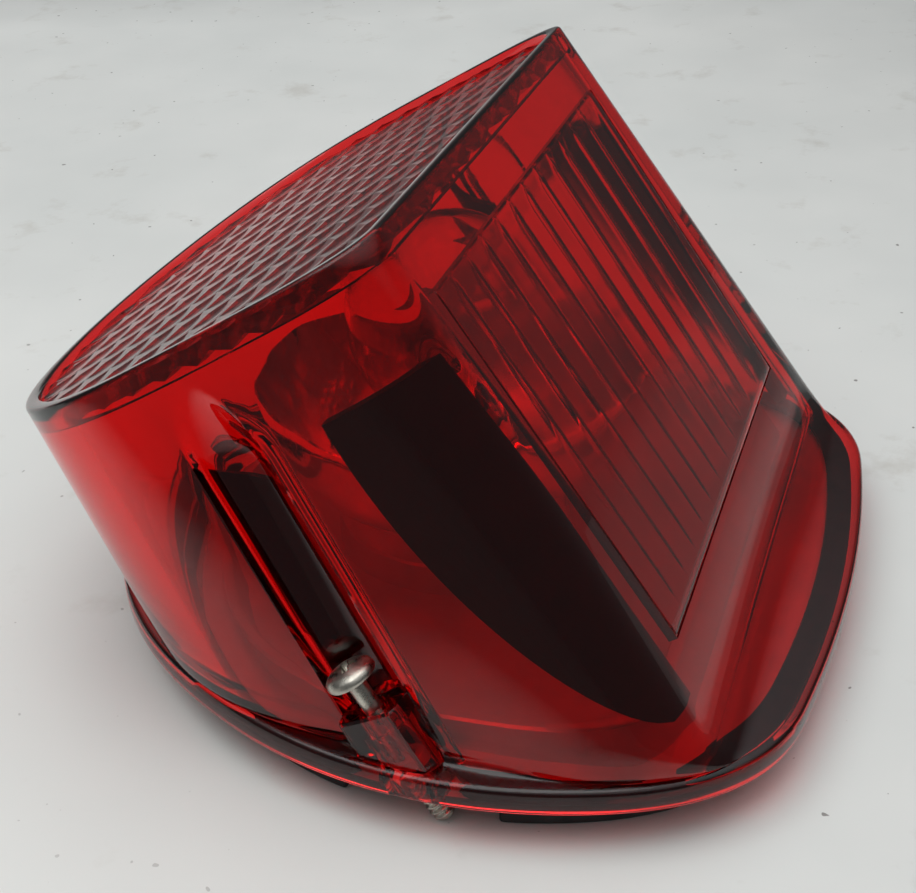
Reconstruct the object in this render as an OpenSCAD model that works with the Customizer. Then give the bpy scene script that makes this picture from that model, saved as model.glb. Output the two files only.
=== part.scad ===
// Motorcycle tail light: a leaning red lens with a reflex end, held by two captive screws.
// Millimetres. Z points away from the mounting plane, X is the width, the lens leans towards +Y.

/* [Lens tube] */

// Lean of the lens tube away from the mounting normal, degrees
lean = 31; // [26:1:34]
// Half width of the reflex end at its straight edge
face_half_width = 47; // [46:0.5:48]
// Wall thickness of the lens
wall = 2.4; // [2:0.1:2.6]
// Depth of the reflex reflector below the rim
reflex_recess = 1; // [0.75:0.25:3]

/* [Flange] */

// Height of the flange underside above the mounting plane
flange_bottom = 6; // [5.6:0.1:6.4]
// Height of the flange lip
flange_height = 3.8; // [3.4:0.1:4.2]
// Width of the lip around the gasket recess
lip_width = 1.8; // [1.6:0.1:2]

/* [Window] */

// Half width of the optic window in the straight wall
window_half_width = 38; // [36:0.5:39]
// Number of flutes on the window
flute_count = 12; // [5:1:12]
// Spacing of the flutes
flute_pitch = 6.2; // [5:0.1:6.4]

/* [Lens screws] */

// Distance of each screw axis from the centre plane
screw_offset = 55.8; // [55.4:0.1:56]
// Lift of the captive screws off their seats
screw_lift = 4.6; // [4.6:0.1:6]
// Length of the screw under its head
screw_length = 23; // [22:0.5:23]
// Thread diameter of the screw
thread_diameter = 3.5; // [3:0.1:3.6]

/* [Bulb and socket] */

// Distance of the bulb axis from the origin, along Y
bulb_y = 9; // [8:0.5:10]
// Diameter of the bulb glass
glass_diameter = 25; // [22:0.5:26]

/* [Hidden] */

$fn = 48;
slip = 0.05;

// Lens tube, in its own frame: x across, s down the reflex face, t out along the lean
face_y = 27.5;
face_z = 60;
face_half_length = 29;
taper = 0.00196;
taper_centre = 2.4;
flat_draft = atan((face_half_length + taper_centre) * taper);
tube_length = 96;
rim_inset = 1.8;
pocket_depth = reflex_recess + 3;
rim_clear = 0.15;
cavity_inset = wall + 0.7;

// Flange outline
flange_top = flange_bottom + flange_height;
gasket_thickness = 1.2;
gasket_top = flange_bottom + 2;
gasket_bottom = gasket_top - gasket_thickness;
plate_thickness = 1.6;
plate_top = gasket_bottom;
plate_bottom = plate_top - plate_thickness;
plate_inset = lip_width + 0.25;

// Window in the straight wall
window_top = 10.5;
window_bottom = 65;
flute_top = 13;
flute_bottom = 62;
flute_depth = 0.6;

// Screws
screw_s = -0.4;
seat_t = -51;
channel_radius = 5;
channel_offset = screw_offset - 0.3;
channel_tilt = atan(50.5 * taper);
channel_length = 35;
channel_run_out = 24;
boss_radius = 5;
web_thickness = 3;
web_hole = 1.95;
bore_radius = 2.8;
retainer_radius = 2.55;
retainer_height = 1.6;
shank_radius = 1.25;
thread_length = 9;
point_length = 1;
head_radius = 3.45;
head_height = 2.1;
under_head_t = seat_t + screw_lift;
tip_t = under_head_t - screw_length;
thread_top_t = tip_t + thread_length;

// Inner parts
shade_top_t = -17;
shade_inset = wall + 1.2;
shade_thickness = 1.6;
shroud_inner = channel_radius + 1.8 + 0.5;
shroud_outer = shroud_inner + 1.4;
shroud_length = 35;

// Reflector bowl
bowl_rim_radius = 27;
bowl_neck_radius = 15.2;
bowl_bottom_z = 17;
bowl_top_z = 34;
bowl_wall = 1.2;

// Socket and bulb
collar_inner = 13.2;
collar_outer = 16.6;
collar_top_z = 12;
socket_radius = 12.6;
socket_disc_radius = 17;
socket_disc_height = 1.6;
seal_height = 1;
socket_top_z = 20.5;
lug_radius = 14.6;
lug_span = 22;
socket_swing = 40;
lug_height = 2;
lug_z = collar_top_z + 0.2;
sleeve_inner = 7.75;
sleeve_outer = 8.15;
sleeve_bottom_z = 5;
sleeve_top_z = 22.5;
cap_radius = 7.6;
cap_bottom_z = 11;
cap_top_z = 26;
cap_skin = 0.4;
bulb_swing = 26;
pin_radius = 0.9;
pin_reach = 8.7;
pin_low_z = 16;
pin_high_z = 19;
glass_base_z = 24.5;
glass_top_z = 58.5;
carrier_radius = 7.4;
carrier_z = 8.4;
carrier_height = 1.4;
contact_offset = 3.2;

RED = [0.72, 0.05, 0.06, 0.6];
BLACK = [0.05, 0.05, 0.06];
RUBBER = [0.1, 0.1, 0.1];
STEEL = [0.75, 0.75, 0.72];
BRASS = [0.78, 0.62, 0.3];
CLEAR = [0.9, 0.93, 0.95, 0.35];
BRIGHT = [0.88, 0.88, 0.9];
AMBER_BROWN = [0.35, 0.2, 0.1];

// A point on an edge bowed outwards by b
function bowed(p, q, b, u) =
  let (d = q - p, l = norm(d), n = [d[1], -d[0]] / l) p + d * u + n * (4 * b * u * (1 - u));
function slope(p, q, b, u) =
  let (d = q - p, l = norm(d), n = [d[1], -d[0]] / l) d + n * (4 * b * (1 - 2 * u));
// The middle control point of the corner between two edges
function corner_point(a, ta, b, tb) =
  let (det = -ta[0] * tb[1] + ta[1] * tb[0], d = b - a,
    k = (-d[0] * tb[1] + d[1] * tb[0]) / det) a + ta * k;
function corner(a, c, b, u) = a * (1 - u) * (1 - u) + c * 2 * u * (1 - u) + b * u * u;

// Rounded four-sided outline: half widths w, ends y, bows b and corner cuts at each end of an edge
function outline(w, y, b, cut, edge_steps = 10, corner_steps = 6) =
  let (p = [[-w[0], y[0]], [w[0], y[0]], [w[1], y[1]], [-w[1], y[1]]],
    bow = [b[0], b[1], b[2], b[1]],
    start = [cut[0], cut[1], cut[2], cut[3]],
    end = [cut[0], cut[3], cut[2], cut[1]])
  [for (i = [0:3]) each let (j = (i + 1) % 4,
      li = norm(p[j] - p[i]), lj = norm(p[(j + 1) % 4] - p[j]),
      u0 = start[i] / li, u1 = 1 - end[i] / li, v0 = start[j] / lj,
      a = bowed(p[i], p[j], bow[i], u1), c = bowed(p[j], p[(j + 1) % 4], bow[j], v0),
      m = corner_point(a, slope(p[i], p[j], bow[i], u1),
        c, slope(p[j], p[(j + 1) % 4], bow[j], v0)))
    concat([for (k = [0:edge_steps]) bowed(p[i], p[j], bow[i], u0 + (u1 - u0) * k / edge_steps)],
      [for (k = [1:corner_steps - 1]) corner(a, m, c, k / corner_steps)])];

// Reflex end outline, moved inwards by inset
module face_outline(inset = 0) {
  polygon(outline([face_half_width - inset, face_half_width + 3 - inset],
    [-face_half_length + inset, face_half_length - inset], [0, 1.8, 15], [7, 15, 31, 22]));
}

// Flange outline, moved inwards by inset
module flange_outline(inset = 0) {
  polygon(outline([47 - inset, 39 - inset], [-48 + inset, 44 - inset], [5, 17, 16], [14, 18, 24, 21]));
}

module in_tube() {
  translate([0, face_y, face_z]) rotate([-lean, 0, 0]) children();
}

// Tapered lens body from depth t down, widening towards the flange
module tapered(inset = 0, from = 0) {
  translate([0, taper_centre, -from]) mirror([0, 0, 1])
    linear_extrude(tube_length - from, scale = (1 + taper * tube_length) / (1 + taper * from))
      scale(1 + taper * from) translate([0, -taper_centre]) face_outline(inset);
}

module above(z) {
  translate([-100, -100, z]) cube([200, 220, 200]);
}

// Frame of one screw: z along the lean, zero at the reflex face
module at_screw(side) {
  in_tube() translate([side * screw_offset, screw_s, 0]) children();
}

// Frame of one screw channel: z along the side wall, zero at the screw seat
module at_channel(side) {
  in_tube() translate([side * channel_offset, screw_s, seat_t])
    rotate([0, -side * channel_tilt, 0]) children();
}

// Round bar along a channel, ending in a run-out towards the wall
module channel_bar(side, radius, low) {
  at_channel(side) {
    translate([0, 0, low]) cylinder(h = channel_length - low, r = radius);
    translate([0, 0, channel_length]) {
      sphere(r = radius);
      rotate([0, side * channel_run_out, 0]) cylinder(h = 30, r = radius);
    }
  }
}

module down_from(t, length, radius) {
  translate([0, 0, t - length]) cylinder(h = length, r = radius);
}

// Frame of the straight wall: x across, y into the lens, z up the wall, zero at the rim
module in_wall() {
  in_tube() translate([0, -face_half_length, 0]) rotate([-flat_draft, 0, 0]) children();
}

module lens_cavity() {
  difference() {
    intersection() {
      in_tube() tapered(cavity_inset, pocket_depth);
      above(flange_bottom - 1);
    }
    for (side = [-1, 1]) {
      channel_bar(side, channel_radius + 1.8, -12);
      at_screw(side) down_from(seat_t + 1, 30, boss_radius);
    }
  }
}

module lens_body() {
  intersection() {
    in_tube() tapered();
    above(flange_top - 0.5);
  }
  translate([0, 0, flange_bottom]) linear_extrude(flange_height) flange_outline();
  intersection() {
    for (side = [-1, 1]) at_screw(side) down_from(seat_t, 30, boss_radius);
    translate([0, 0, flange_bottom]) linear_extrude(20) flange_outline();
  }
}

module gasket_recess() {
  difference() {
    translate([0, 0, flange_bottom - 1]) linear_extrude(3) flange_outline(lip_width);
    for (side = [-1, 1]) at_screw(side) down_from(seat_t, 40, bore_radius + 1);
  }
}

module lens_shell() {
  color(RED) difference() {
    lens_body();
    lens_cavity();
    gasket_recess();
    in_tube() translate([0, 0, -pocket_depth]) linear_extrude(10) face_outline(rim_inset);
    for (side = [-1, 1]) {
      intersection() {
        channel_bar(side, channel_radius, -2);
        in_tube() translate([-100, -100, seat_t]) cube([200, 200, 60]);
      }
      at_screw(side) down_from(seat_t + 1, 30, web_hole);
      at_screw(side) down_from(seat_t - web_thickness, 30, bore_radius);
    }
    in_wall() translate([-window_half_width, -2, -window_bottom])
      cube([2 * window_half_width, 8, window_bottom - window_top]);
  }
}

// Reflector plate with crossing prism grooves on its inner side
module reflex_reflector() {
  groove_pitch = 6.4;
  color(RED) in_tube() difference() {
    translate([0, 0, -pocket_depth]) linear_extrude(3) face_outline(rim_inset + rim_clear);
    for (turn = [-30, 30], k = [-7:7])
      rotate([0, 0, turn]) translate([k * groove_pitch + 0.7, 0, -pocket_depth - 0.1])
        rotate([0, 45, 0]) cube([1.7, 140, 1.7], center = true);
  }
}

// Optic window: a plate flush with the straight wall, fluted inside
module optic_window() {
  plate_half = window_half_width - slip;
  arc = (flute_pitch * flute_pitch / 4 + flute_depth * flute_depth) / (2 * flute_depth);
  color(RED) in_wall() {
    translate([-plate_half, 0, -window_bottom + slip])
      cube([2 * plate_half, wall, window_bottom - window_top - 2 * slip]);
    intersection() {
      for (k = [0:flute_count - 1])
        translate([(k - (flute_count - 1) / 2) * flute_pitch, wall + flute_depth - arc, -flute_bottom])
          cylinder(h = flute_bottom - flute_top, r = arc);
      translate([-window_half_width, wall - 0.5, -window_bottom])
        cube([2 * window_half_width, 3, window_bottom]);
    }
  }
}

// Gasket ring that passes inside each screw boss
module lens_gasket() {
  color(RUBBER) intersection() {
    translate([0, 0, gasket_bottom]) linear_extrude(gasket_thickness) flange_outline(lip_width + 0.2);
    difference() {
      union() {
        translate([0, 0, gasket_bottom]) linear_extrude(gasket_thickness) difference() {
          flange_outline(lip_width + 0.2);
          flange_outline(lip_width + 4.4);
        }
        for (side = [-1, 1]) at_screw(side) down_from(seat_t, 40, bore_radius + 3.4);
      }
      for (side = [-1, 1]) at_screw(side) down_from(seat_t, 50, bore_radius + 1.2);
    }
  }
}

// Black back plate with the bulb collar and a locating rim inside the lens
module rear_housing() {
  color(BLACK) difference() {
    union() {
      translate([0, 0, plate_bottom]) linear_extrude(plate_thickness) flange_outline(plate_inset);
      translate([0, bulb_y, plate_top - 0.5]) cylinder(h = collar_top_z - plate_top + 0.5, r = collar_outer);
      difference() {
        intersection() {
          in_tube() difference() {
            tapered(shade_inset + 3.4);
            tapered(shade_inset + 5);
          }
          translate([-100, -100, plate_top - 0.5]) cube([200, 220, 5]);
        }
        for (side = [-1, 1]) at_channel(side) down_from(0, 80, shroud_outer + 0.3);
      }
    }
    translate([0, bulb_y, 0]) cylinder(h = 30, r = collar_inner);
    for (a = [0, 120, 240]) translate([0, bulb_y, 0]) rotate([0, 0, a + socket_swing - lug_span / 2 - 2])
      rotate_extrude(angle = lug_span + 4) translate([collar_inner - 1, 0]) square([2.6, 30]);
    for (side = [-1, 1]) at_screw(side) down_from(-40, 60, bore_radius + 1.4);
  }
}

// Corner shade: follows the inside of one straight-wall corner, with a free edge that curves inwards
module corner_shade(side) {
  reach = 40;
  color(BLACK) intersection() {
    difference() {
      in_tube() difference() {
        tapered(shade_inset, -shade_top_t);
        tapered(shade_inset + shade_thickness, -shade_top_t - 1);
      }
      at_screw(side) down_from(seat_t, 40, bore_radius + 3.7);
    }
    above(plate_top + 0.05);
    in_tube() translate([side > 0 ? reach : -80, 0, 0]) rotate([90, 0, 90])
      linear_extrude(80 - reach) polygon(concat([[-60, -76], [-60, 0], [-12.4, 0]],
        [for (depth = [16:5:76]) [-12.4 - 0.0052 * pow(depth - 16, 2), -depth]]));
  }
}

module corner_shade_left() {
  corner_shade(-1);
}

module corner_shade_right() {
  corner_shade(1);
}

// Curved black plate behind one screw channel
module channel_shroud(side) {
  color(BLACK) intersection() {
    at_channel(side) difference() {
      down_from(shroud_length, 60, shroud_outer);
      down_from(shroud_length + 1, 62, shroud_inner);
      translate([-50, -100, -50]) cube([100, 100, 200]);
    }
    in_tube() tapered(shade_inset, 5);
    above(plate_top + 0.05);
  }
}

module channel_shroud_left() {
  channel_shroud(-1);
}

module channel_shroud_right() {
  channel_shroud(1);
}

// Four rubber pads that carry the light, two on each side
module mounting_pads() {
  color(RUBBER) linear_extrude(plate_bottom) intersection() {
    difference() {
      flange_outline(4.4);
      flange_outline(14);
    }
    for (side = [-1, 1], span = [[-37, -15], [6, 21]])
      translate([side > 0 ? 20 : -70, span[0]]) square([50, span[1] - span[0]]);
  }
}

// Bright dish around the bulb, standing on the collar
module reflector_bowl() {
  depth = bowl_top_z - bowl_bottom_z;
  steps = 10;
  skirt = bowl_bottom_z - collar_top_z - 0.02;
  function rise(u) = depth * u * u;
  function across(u) = bowl_neck_radius + (bowl_rim_radius - bowl_neck_radius) * u;
  color(BRIGHT) translate([0, bulb_y, bowl_bottom_z]) rotate_extrude() polygon(concat(
    [[bowl_neck_radius, -skirt], [bowl_neck_radius + bowl_wall, -skirt], [bowl_neck_radius + bowl_wall, 0]],
    [for (k = [2:steps]) [across(k / steps), rise(k / steps)]],
    [for (k = [steps:-1:0]) [across(k / steps), rise(k / steps) + bowl_wall]]));
}

module socket_seal() {
  color(RUBBER) translate([0, bulb_y, plate_bottom - seal_height - 0.05]) difference() {
    cylinder(h = seal_height, r = socket_disc_radius - 0.5);
    translate([0, 0, -1]) cylinder(h = 5, r = collar_inner + 0.4);
  }
}

// Twist-lock bulb socket with three lugs over the collar
module bulb_socket() {
  disc_bottom = plate_bottom - seal_height - 0.1 - socket_disc_height;
  color(BLACK) translate([0, bulb_y, 0]) difference() {
    union() {
      translate([0, 0, disc_bottom]) cylinder(h = socket_disc_height, r = socket_disc_radius);
      translate([0, 0, disc_bottom + 0.5]) cylinder(h = socket_top_z - disc_bottom - 0.5, r = socket_radius);
      for (a = [0, 120, 240]) rotate([0, 0, a - lug_span / 2])
        rotate_extrude(angle = lug_span) translate([socket_radius - 0.5, lug_z])
          square([lug_radius - socket_radius + 0.5, lug_height]);
      translate([-12, -1.5, 0.6]) cube([24, 3, disc_bottom - 0.5]);
    }
    translate([0, 0, sleeve_bottom_z]) cylinder(h = 30, r = sleeve_outer + 0.02);
    for (k = [-1:1]) translate([k * 4 - 0.4, -0.5, -1]) cube([0.8, 1, 10]);
    for (k = [-1:1]) translate([k * 4 - 1.5, 2, 3]) cube([3, 40, 0.9]);
    bayonet_slot(0, pin_low_z);
    bayonet_slot(180, pin_high_z);
  }
}

// Metal sleeve with two hooked bayonet slots
module socket_sleeve() {
  color(BRIGHT) translate([0, bulb_y, 0]) difference() {
    translate([0, 0, sleeve_bottom_z + 0.02]) cylinder(h = sleeve_top_z - sleeve_bottom_z, r = sleeve_outer);
    translate([0, 0, -1]) cylinder(h = 40, r = sleeve_inner);
    bayonet_slot(0, pin_low_z);
    bayonet_slot(180, pin_high_z);
  }
}

// Hooked slot: down from the mouth, then round to where the pin rests
module bayonet_slot(turn, z) {
  half = pin_radius + 0.15;
  side = asin(half / sleeve_outer);
  rotate([0, 0, turn]) {
    rotate([0, 0, -side]) rotate_extrude(angle = bulb_swing + 2 * side)
      translate([sleeve_inner - 1, z - half]) square([3, 2 * half]);
    rotate([0, 0, bulb_swing]) translate([sleeve_inner - 1.3, -half + 0.06, z])
      cube([3.6, 2 * half - 0.12, 20]);
  }
}

// Contact spring: wire rings joined by short risers
module contact_spring() {
  turns = 5;
  wire_radius = 0.25;
  coil_radius = 5.6;
  pitch = (carrier_z - sleeve_bottom_z - 2 * wire_radius - 0.1) / (turns - 1);
  color(STEEL) translate([0, bulb_y, sleeve_bottom_z + 0.02 + wire_radius]) for (k = [0:turns - 1]) {
    translate([0, 0, k * pitch]) rotate_extrude() translate([coil_radius, 0]) circle(r = wire_radius);
    if (k < turns - 1) rotate([0, 0, k * 120]) translate([coil_radius, 0, k * pitch])
      cylinder(h = pitch, r = wire_radius);
  }
}

module contact_carrier() {
  color(AMBER_BROWN) translate([0, bulb_y, carrier_z]) difference() {
    cylinder(h = carrier_height, r = carrier_radius);
    for (side = [-1, 1]) translate([side * contact_offset, 0, -1]) cylinder(h = 5, r = 1.2);
  }
}

module contact_plungers() {
  color(BRASS) for (side = [-1, 1]) translate([side * contact_offset, bulb_y, carrier_z - 0.3]) {
    cylinder(h = carrier_height + 0.5, r = 1.15);
    translate([0, 0, carrier_height + 0.3]) cylinder(h = 0.5, r = 1.6);
  }
}

// Three flat blades lying under the plate, pointing out along +Y
module terminal_blades() {
  color(BRASS) for (k = [-1:1]) translate([k * 4 - 1.4, bulb_y + 2.2, 3.05]) {
    cube([2.8, 20, 0.8]);
  }
}

module bulb_cap() {
  color(BRASS) translate([0, bulb_y, 0]) {
    difference() {
      translate([0, 0, cap_bottom_z]) cylinder(h = cap_top_z - cap_bottom_z, r = cap_radius);
      translate([0, 0, cap_bottom_z - 1]) cylinder(h = 30, r = cap_radius - cap_skin);
    }
    rotate([0, 90, 0]) translate([-pin_low_z, 0, cap_radius - 0.3])
      cylinder(h = pin_reach - cap_radius + 0.3, r = pin_radius);
    rotate([0, -90, 0]) translate([pin_high_z, 0, cap_radius - 0.3])
      cylinder(h = pin_reach - cap_radius + 0.3, r = pin_radius);
  }
}

// Insulator that closes the cap and carries the two solder contacts
module bulb_insulator() {
  color(BLACK) translate([0, bulb_y, cap_bottom_z - 0.3]) difference() {
    cylinder(h = 2.3, r = cap_radius - cap_skin - 0.02);
    for (side = [-1, 1]) translate([side * contact_offset, 0, -1]) cylinder(h = 5, r = 1);
  }
}

module bulb_solder() {
  color(STEEL) for (side = [-1, 1]) translate([side * contact_offset, bulb_y, cap_bottom_z - 0.6])
    cylinder(h = 2.4, r = 0.98);
}

// Blown glass envelope: a neck, a shoulder and a round end
module bulb_glass() {
  r = glass_diameter / 2;
  neck = cap_radius - 0.5;
  shoulder_z = 32;
  centre_z = glass_top_z - r;
  skin = 0.7;
  color(CLEAR) translate([0, bulb_y, 0]) rotate_extrude() difference() {
    union() {
      translate([0, glass_base_z]) square([neck, shoulder_z - glass_base_z]);
      polygon([[0, shoulder_z - 3], [neck, shoulder_z - 3], [r, shoulder_z + 5],
        [r, centre_z], [0, centre_z]]);
      intersection() {
        translate([0, centre_z]) circle(r = r);
        translate([0, centre_z - 0.1]) square([r + 1, r + 1]);
      }
    }
    translate([0, glass_base_z - 1]) square([neck - skin, shoulder_z - glass_base_z]);
    polygon([[0, shoulder_z - 3], [neck - skin, shoulder_z - 3], [r - skin, shoulder_z + 5],
      [r - skin, centre_z], [0, centre_z]]);
    intersection() {
      translate([0, centre_z]) circle(r = r - skin);
      translate([0, centre_z - 0.1]) square([r + 1, r + 1]);
    }
    translate([-50, 0]) square([50, 100]);
  }
}

module bulb_stem() {
  color(CLEAR) translate([0, bulb_y, glass_base_z - 2]) cylinder(h = 12, r = 2.4);
}

// Two filaments, each across two support wires that stand on the stem
module bulb_filaments() {
  wire_top = 18;
  color(STEEL) translate([0, bulb_y, glass_base_z]) for (row = [-1, 1]) {
    for (side = [-1, 1]) translate([side * 1.8, row * 1.2, 10.02])
      cylinder(h = wire_top + row - 10, r = 0.25);
    translate([-1.8, row * 1.2, wire_top + row]) rotate([0, 90, 0]) cylinder(h = 3.6, r = 0.35);
  }
}

// Pan-head screw with a cross recess, a thin shank and a threaded end
module lens_screw(side) {
  color(STEEL) at_screw(side) {
    difference() {
      intersection() {
        translate([0, 0, under_head_t]) cylinder(h = head_height, r = head_radius);
        translate([0, 0, under_head_t + head_height - 4.6]) sphere(r = 4.6);
      }
      for (a = [0, 90]) rotate([0, 0, a]) translate([-1.7, -0.4, under_head_t + 0.8]) cube([3.4, 0.8, 3]);
    }
    translate([0, 0, thread_top_t - 0.1]) cylinder(h = under_head_t - thread_top_t + 0.2, r = shank_radius);
    translate([0, 0, tip_t + point_length])
      cylinder(h = thread_length - point_length, r = thread_diameter / 2);
    translate([0, 0, tip_t]) cylinder(h = point_length + 0.1, r = shank_radius);
  }
}

module lens_screw_left() {
  lens_screw(-1);
}

module lens_screw_right() {
  lens_screw(1);
}

// Nylon collar above the thread: it stops the screw from leaving the lens
module screw_retainer(side) {
  color(BLACK) at_screw(side) translate([0, 0, thread_top_t + slip]) difference() {
    cylinder(h = retainer_height, r = retainer_radius);
    translate([0, 0, -1]) cylinder(h = 5, r = shank_radius + slip);
  }
}

module screw_retainer_left() {
  screw_retainer(-1);
}

module screw_retainer_right() {
  screw_retainer(1);
}

lens_shell();
reflex_reflector();
optic_window();
lens_gasket();
rear_housing();
corner_shade_left();
corner_shade_right();
channel_shroud_left();
channel_shroud_right();
mounting_pads();
reflector_bowl();
socket_seal();
bulb_socket();
socket_sleeve();
contact_spring();
contact_carrier();
contact_plungers();
terminal_blades();
bulb_cap();
bulb_insulator();
bulb_solder();
bulb_glass();
bulb_stem();
bulb_filaments();
lens_screw_left();
lens_screw_right();
screw_retainer_left();
screw_retainer_right();
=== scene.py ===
"""Looks of the motorcycle tail light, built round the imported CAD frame.

Lengths are in millimetres until a mesh is made.
"""
import math

import bmesh
import bpy
import numpy as np
from mathutils import Matrix, Vector


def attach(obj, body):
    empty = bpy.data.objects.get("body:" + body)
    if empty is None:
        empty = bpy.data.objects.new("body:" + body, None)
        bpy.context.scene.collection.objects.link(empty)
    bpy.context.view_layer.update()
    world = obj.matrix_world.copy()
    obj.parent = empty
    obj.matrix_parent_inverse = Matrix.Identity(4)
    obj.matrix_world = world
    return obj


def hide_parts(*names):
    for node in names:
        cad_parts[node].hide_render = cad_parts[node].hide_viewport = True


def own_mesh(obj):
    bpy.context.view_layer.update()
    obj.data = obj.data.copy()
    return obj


MM = 0.001
SIDES = ((-1, "left"), (1, "right"))

# Lens tube frame: x across, s down the reflex face, t out along the lean
LEAN = math.radians(31)
FACE = np.array([0.0, 27.5, 60.0])
ACROSS = np.array([1.0, 0.0, 0.0])
DOWN = np.array([0.0, math.cos(LEAN), -math.sin(LEAN)])
OUT = np.array([0.0, math.sin(LEAN), math.cos(LEAN)])
TAPER = 0.00196
TAPER_CENTRE = 2.4
FACE_HALF = 29.0
DRAFT = math.atan((FACE_HALF + TAPER_CENTRE) * TAPER)
CAVITY_INSET = 3.1
RIM_INSET = 1.8
POCKET = 4.0

# Flange and plate
FLANGE_TOP = 9.8
FLANGE_BOTTOM = 6.0
RECESS_Z = 8.0
PLATE_TOP = 6.8
PLATE_BOTTOM = 5.2

# Screws and channels
SCREW_X = 55.8
SCREW_S = -0.4
CHANNEL_X = 50.45
CHANNEL_R = 5.0
CHANNEL_START, CHANNEL_FULL = 4.5, 16.0
PIPE_R = 6.8
SEAT_T = -51.0
UNDER_HEAD_T = -46.4
TIP_T = -69.4
THREAD_TOP_T = -60.4

BULB_Y = 9.0
BULB_SWING, PIN_R, PIN_LOW, PIN_HIGH = 26.0, 0.9, 16.0, 19.0
UP = (0, 0, 1)
AXIS = (0, BULB_Y, 0)

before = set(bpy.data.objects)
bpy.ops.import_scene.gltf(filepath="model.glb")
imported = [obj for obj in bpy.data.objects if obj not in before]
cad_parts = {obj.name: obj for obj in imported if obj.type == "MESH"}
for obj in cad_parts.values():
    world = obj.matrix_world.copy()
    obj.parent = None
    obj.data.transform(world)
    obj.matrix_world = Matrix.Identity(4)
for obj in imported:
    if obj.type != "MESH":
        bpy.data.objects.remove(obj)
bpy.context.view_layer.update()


# ---------- outlines

def shares(count):
    return np.linspace(0, 1, count, endpoint=False)


def full_turn(steps):
    return np.linspace(0, 2 * math.pi, steps, endpoint=False)


EDGE_COUNTS = (48, 100, 26, 100)
CORNER_COUNTS = (26, 40, 40, 26)


def outline(half, ends, bow, cut):
    """Rounded four-sided outline: edges bowed outwards, corners as quadratic curves."""
    p = np.array([[-half[0], ends[0]], [half[0], ends[0]], [half[1], ends[1]], [-half[1], ends[1]]], float)
    bows = [bow[0], bow[1], bow[2], bow[1]]
    end = [cut[0], cut[3], cut[2], cut[1]]

    def line(i):
        """Start, direction and normal of a straight side."""
        d = p[(i + 1) % 4] - p[i]
        return p[i], d, np.array([d[1], -d[0]]) / np.hypot(*d)

    def edge(i, u):
        a, d, n = line(i)
        u = np.asarray(u, float)[..., None]
        return a + d * u + n * 4 * bows[i] * u * (1 - u)

    def slope(i, u):
        _, d, n = line(i)
        return d + n * 4 * bows[i] * (1 - 2 * u)

    points = []
    for i in range(4):
        j = (i + 1) % 4
        length_i = np.hypot(*(p[j] - p[i]))
        length_j = np.hypot(*(p[(j + 1) % 4] - p[j]))
        u0, u1, v0 = cut[i] / length_i, 1 - end[i] / length_i, cut[j] / length_j
        points.append(edge(i, u0 + (u1 - u0) * shares(EDGE_COUNTS[i])))
        a, c = edge(i, u1), edge(j, v0)
        ta, tc = slope(i, u1), slope(j, v0)
        k = np.linalg.solve(np.array([ta, -tc]).T, c - a)
        m = a + ta * k[0]
        w = shares(CORNER_COUNTS[i])[:, None]
        points.append(a * (1 - w) ** 2 + m * 2 * w * (1 - w) + c * w ** 2)
    return np.concatenate(points)


def face_outline(inset=0.0):
    return outline((47 - inset, 50 - inset), (-29 + inset, 29 - inset), (0, 1.8, 15), (7, 15, 31, 22))


def flange_outline(inset=0.0):
    return outline((47 - inset, 39 - inset), (-48 + inset, 44 - inset), (5, 17, 16), (14, 18, 24, 21))


COUNT = sum(EDGE_COUNTS) + sum(CORNER_COUNTS)
SHY = 0.03  # keeps the rounded outline inside the CAD part's box
FLANGE_EDGE = flange_outline(0.0)


def half_width(points, y, **ends):
    """Half the width of an outline at a place along y."""
    right = points[points[:, 0] > 0]
    order = np.argsort(right[:, 1])
    return np.interp(y, right[order, 1], right[order, 0], **ends)


def tube(x, s, t):
    """World point of a point in the lens tube frame."""
    x, s, t = np.broadcast_arrays(np.asarray(x, float), np.asarray(s, float), np.asarray(t, float))
    return FACE + x[..., None] * ACROSS + s[..., None] * DOWN + t[..., None] * OUT


def flat(points, z):
    z = np.broadcast_to(np.asarray(z, float), points.shape[:1])
    return np.column_stack([points, z])


def smooth_min(a, b, k):
    h = np.clip(0.5 + 0.5 * (b - a) / k, 0, 1)
    return b * (1 - h) + a * h - k * h * (1 - h)


def smooth_max(a, b, k):
    return -smooth_min(-a, -b, k)


def ease(a, b, x):
    w = np.clip((x - a) / (b - a), 0, 1)
    return w * w * (3 - 2 * w)


def channel_axis(depth):
    """Distance of a channel's axis from the centre plane: it follows the side wall."""
    return CHANNEL_X * (1 + TAPER * depth)


def pipe_limit(ds, radius, depth):
    """Distance from the centre plane at which a channel of this radius starts, and a steep rise beside it."""
    inside = np.sqrt(np.maximum(radius ** 2 - np.minimum(np.abs(ds), radius) ** 2, 0))
    cut = np.clip((depth - CHANNEL_START) / (CHANNEL_FULL - CHANNEL_START), 0, 1) ** 1.25
    return channel_axis(depth) + CHANNEL_R * (1 - cut) - inside + np.maximum(np.abs(ds) - radius, 0) * 6


def boss_limit(ds, radius=5.0):
    inside = np.sqrt(np.maximum(radius ** 2 - np.minimum(np.abs(ds), radius) ** 2, 0))
    return SCREW_X + inside - np.maximum(np.abs(ds) - radius, 0) * 6


def tapered(points, depth):
    """x and s of outline points at a depth below the rim."""
    k = 1 + TAPER * depth
    return points[:, 0] * k, TAPER_CENTRE + (points[:, 1] - TAPER_CENTRE) * k


def depth_at_height(points, z):
    """Depth below the rim at which the tapered wall through these points meets a height."""
    sin, cos = math.sin(LEAN), math.cos(LEAN)
    return (FACE[2] - points[:, 1] * sin - z) / (cos + (points[:, 1] - TAPER_CENTRE) * TAPER * sin)


# ---------- meshes

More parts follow.
